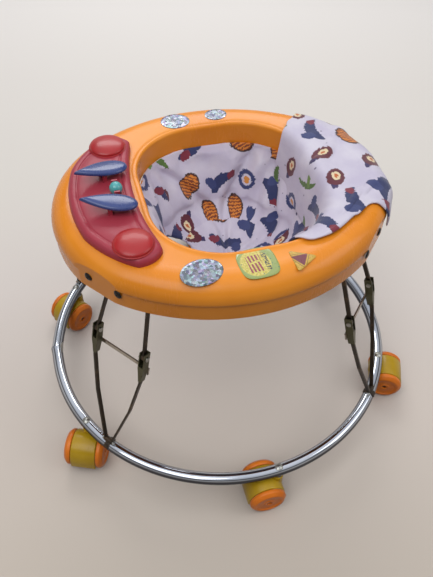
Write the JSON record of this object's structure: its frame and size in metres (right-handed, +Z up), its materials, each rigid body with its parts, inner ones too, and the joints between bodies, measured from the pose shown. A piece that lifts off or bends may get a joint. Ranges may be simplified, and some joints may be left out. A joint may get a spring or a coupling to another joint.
{
  "type": "baby walker",
  "caption": "Folding baby walker: round chrome base ring on swivel casters, over-centre folding leg frames, oval play tray with rocker levers and spinning ball, cloth seat.",
  "frame": {"origin": "on the floor, under the centre of the base ring", "axes": "+Z up; the child faces -Y; +X is the child's left"},
  "size_m": [0.643, 0.621, 0.4469],
  "materials": {
    "chrome_tube": "polished chrome plate",
    "zinc_steel": "zinc plated",
    "dark_steel": "dark passivated strip",
    "olive_steel": "olive zinc passivated sheet",
    "black_screw": "black oxide",
    "yellow_plastic": "gloss",
    "wheel_orange": "semi-gloss",
    "tray_orange": "gloss",
    "maroon_plastic": "gloss",
    "dark_red_plastic": "gloss",
    "navy_plastic": "gloss",
    "teal_plastic": "gloss",
    "seat_cloth": "printed woven cloth over thin wadding"
  },
  "bodies": {
    "base": {"base_ring": "chrome_tube", "ring_hardware": "zinc_steel", "ring_saddles": "olive_steel"},
    "caster_1": {"caster_hood_1": "yellow_plastic"},
    "wheels_1": {"caster_wheels_1": "wheel_orange", "caster_axle_1": "zinc_steel"},
    "caster_2": {"caster_hood_2": "yellow_plastic"},
    "wheels_2": {"caster_wheels_2": "wheel_orange", "caster_axle_2": "zinc_steel"},
    "caster_3": {"caster_hood_3": "yellow_plastic"},
    "wheels_3": {"caster_wheels_3": "wheel_orange", "caster_axle_3": "zinc_steel"},
    "caster_4": {"caster_hood_4": "yellow_plastic"},
    "wheels_4": {"caster_wheels_4": "wheel_orange", "caster_axle_4": "zinc_steel"},
    "caster_5": {"caster_hood_5": "yellow_plastic"},
    "wheels_5": {"caster_wheels_5": "wheel_orange", "caster_axle_5": "zinc_steel"},
    "caster_6": {"caster_hood_6": "yellow_plastic"},
    "wheels_6": {"caster_wheels_6": "wheel_orange", "caster_axle_6": "zinc_steel"},
    "lower_leg_front_left": {"lower_bars_front_left": "dark_steel", "knee_channels_front_left": "olive_steel", "crossbar_front_left": "zinc_steel", "leg_pins_front_left": "zinc_steel"},
    "upper_leg_front_left": {"upper_bars_front_left": "dark_steel", "top_rod_front_left": "zinc_steel"},
    "lower_leg_front_right": {"lower_bars_front_right": "dark_steel", "knee_channels_front_right": "olive_steel", "crossbar_front_right": "zinc_steel", "leg_pins_front_right": "zinc_steel"},
    "upper_leg_front_right": {"upper_bars_front_right": "dark_steel", "top_rod_front_right": "zinc_steel"},
    "lower_leg_rear_left": {"lower_bars_rear_left": "dark_steel", "knee_channels_rear_left": "olive_steel", "crossbar_rear_left": "zinc_steel", "leg_pins_rear_left": "zinc_steel"},
    "upper_leg_rear_left": {"upper_bars_rear_left": "dark_steel", "top_rod_rear_left": "zinc_steel"},
    "lower_leg_rear_right": {"lower_bars_rear_right": "dark_steel", "knee_channels_rear_right": "olive_steel", "crossbar_rear_right": "zinc_steel", "leg_pins_rear_right": "zinc_steel"},
    "upper_leg_rear_right": {"upper_bars_rear_right": "dark_steel", "top_rod_rear_right": "zinc_steel"},
    "tray": {"tray_rim": "tray_orange", "tray_deck": "tray_orange", "tray_well": "tray_orange", "tray_ribs": "tray_orange", "top_brackets": "zinc_steel", "tray_screws": "black_screw", "toy_panel": "maroon_plastic", "toy_posts": "maroon_plastic", "toy_pods": "dark_red_plastic", "toy_pins": "zinc_steel", "seat_liner": "seat_cloth", "seat_flap": "seat_cloth"},
    "lever_left": {"toy_lever_left": "navy_plastic"},
    "lever_right": {"toy_lever_right": "navy_plastic"},
    "ball": {"toy_ball": "teal_plastic"}
  },
  "joints": [
    {"name": "caster_1_swivel", "type": "hinge", "parent": "base", "child": "caster_1", "pos_m": [0.13166, -0.25839, 0.045], "axis": [0, 0, 1], "continuous": true},
    {"name": "wheels_1_spin", "type": "hinge", "parent": "caster_1", "child": "wheels_1", "pos_m": [0.15191, -0.26699, 0.029], "axis": [0.3907, 0.9205, 0], "continuous": true},
    {"name": "caster_2_swivel", "type": "hinge", "parent": "base", "child": "caster_2", "pos_m": [0.2896, 0.01518, 0.045], "axis": [0, 0, 1], "continuous": true},
    {"name": "wheels_2_spin", "type": "hinge", "parent": "caster_2", "child": "wheels_2", "pos_m": [0.2896, -0.00682, 0.029], "axis": [1, 0, 0], "continuous": true},
    {"name": "caster_3_swivel", "type": "hinge", "parent": "base", "child": "caster_3", "pos_m": [0.13615, 0.25605, 0.045], "axis": [0, 0, 1], "continuous": true},
    {"name": "wheels_3_spin", "type": "hinge", "parent": "caster_3", "child": "wheels_3", "pos_m": [0.14579, 0.27583, 0.029], "axis": [-0.8988, 0.4384, 0], "continuous": true},
    {"name": "caster_4_swivel", "type": "hinge", "parent": "base", "child": "caster_4", "pos_m": [-0.13615, 0.25605, 0.045], "axis": [0, 0, 1], "continuous": true},
    {"name": "wheels_4_spin", "type": "hinge", "parent": "caster_4", "child": "wheels_4", "pos_m": [-0.13921, 0.27784, 0.029], "axis": [-0.9903, -0.1392, 0], "continuous": true},
    {"name": "caster_5_swivel", "type": "hinge", "parent": "base", "child": "caster_5", "pos_m": [-0.2896, 0.01518, 0.045], "axis": [0, 0, 1], "continuous": true},
    {"name": "wheels_5_spin", "type": "hinge", "parent": "caster_5", "child": "wheels_5", "pos_m": [-0.2896, 0.03718, 0.029], "axis": [-1, 0, 0], "continuous": true},
    {"name": "caster_6_swivel", "type": "hinge", "parent": "base", "child": "caster_6", "pos_m": [-0.16217, -0.24042, 0.045], "axis": [0, 0, 1], "continuous": true},
    {"name": "wheels_6_spin", "type": "hinge", "parent": "caster_6", "child": "wheels_6", "pos_m": [-0.14893, -0.25799, 0.029], "axis": [0.7986, 0.6018, 0], "continuous": true},
    {"name": "fold", "type": "hinge", "parent": "base", "child": "lower_leg_front_left", "pos_m": [0.17854, -0.22852, 0.086], "axis": [-0.788, -0.6157, 0], "range_deg": [0, 52], "deforming": ["seat_liner"]},
    {"name": "knee_front_left", "type": "hinge", "parent": "lower_leg_front_left", "child": "upper_leg_front_left", "pos_m": [0.14377, -0.18402, 0.28016], "axis": [-0.788, -0.6157, 0], "range_deg": [-135.7, 0]},
    {"name": "fold_front_right", "type": "hinge", "parent": "base", "child": "lower_leg_front_right", "pos_m": [-0.17854, -0.22852, 0.086], "axis": [-0.788, 0.6157, 0], "range_deg": [0, 52]},
    {"name": "knee_front_right", "type": "hinge", "parent": "lower_leg_front_right", "child": "upper_leg_front_right", "pos_m": [-0.14377, -0.18402, 0.28016], "axis": [-0.788, 0.6157, 0], "range_deg": [-135.7, 0]},
    {"name": "fold_rear_left", "type": "hinge", "parent": "base", "child": "lower_leg_rear_left", "pos_m": [0.20145, 0.20861, 0.086], "axis": [0.7193, -0.6947, 0], "range_deg": [0, 52]},
    {"name": "knee_rear_left", "type": "hinge", "parent": "lower_leg_rear_left", "child": "upper_leg_rear_left", "pos_m": [0.16222, 0.16798, 0.28016], "axis": [0.7193, -0.6947, 0], "range_deg": [-135.7, 0]},
    {"name": "fold_rear_right", "type": "hinge", "parent": "base", "child": "lower_leg_rear_right", "pos_m": [-0.20145, 0.20861, 0.086], "axis": [0.7193, 0.6947, 0], "range_deg": [0, 52]},
    {"name": "knee_rear_right", "type": "hinge", "parent": "lower_leg_rear_right", "child": "upper_leg_rear_right", "pos_m": [-0.16222, 0.16798, 0.28016], "axis": [0.7193, 0.6947, 0], "range_deg": [-135.7, 0]},
    {"name": "tray_hinge", "type": "hinge", "parent": "upper_leg_front_left", "child": "tray", "pos_m": [0.12005, -0.15366, 0.382], "axis": [-0.788, -0.6157, 0], "range_deg": [0, 83.7]},
    {"name": "lever_left_rock", "type": "hinge", "parent": "tray", "child": "lever_left", "pos_m": [0.036, -0.163, 0.433], "axis": [0.9781, -0.2079, 0], "range_deg": [-4, 18]},
    {"name": "lever_right_rock", "type": "hinge", "parent": "tray", "child": "lever_right", "pos_m": [-0.036, -0.163, 0.433], "axis": [0.9781, 0.2079, 0], "range_deg": [-4, 18]},
    {"name": "ball_spin", "type": "hinge", "parent": "tray", "child": "ball", "pos_m": [0, -0.15, 0.431], "axis": [1, 0, 0], "continuous": true}
  ],
  "couplings": [
    {"joint": "knee_front_left", "follows": "fold", "ratio": -2.6},
    {"joint": "fold_front_right", "follows": "fold", "ratio": 1},
    {"joint": "knee_front_right", "follows": "fold", "ratio": -2.6},
    {"joint": "fold_rear_left", "follows": "fold", "ratio": 1},
    {"joint": "knee_rear_left", "follows": "fold", "ratio": -2.6},
    {"joint": "fold_rear_right", "follows": "fold", "ratio": 1},
    {"joint": "knee_rear_right", "follows": "fold", "ratio": -2.6},
    {"joint": "tray_hinge", "follows": "fold", "ratio": 1.6}
  ]
}
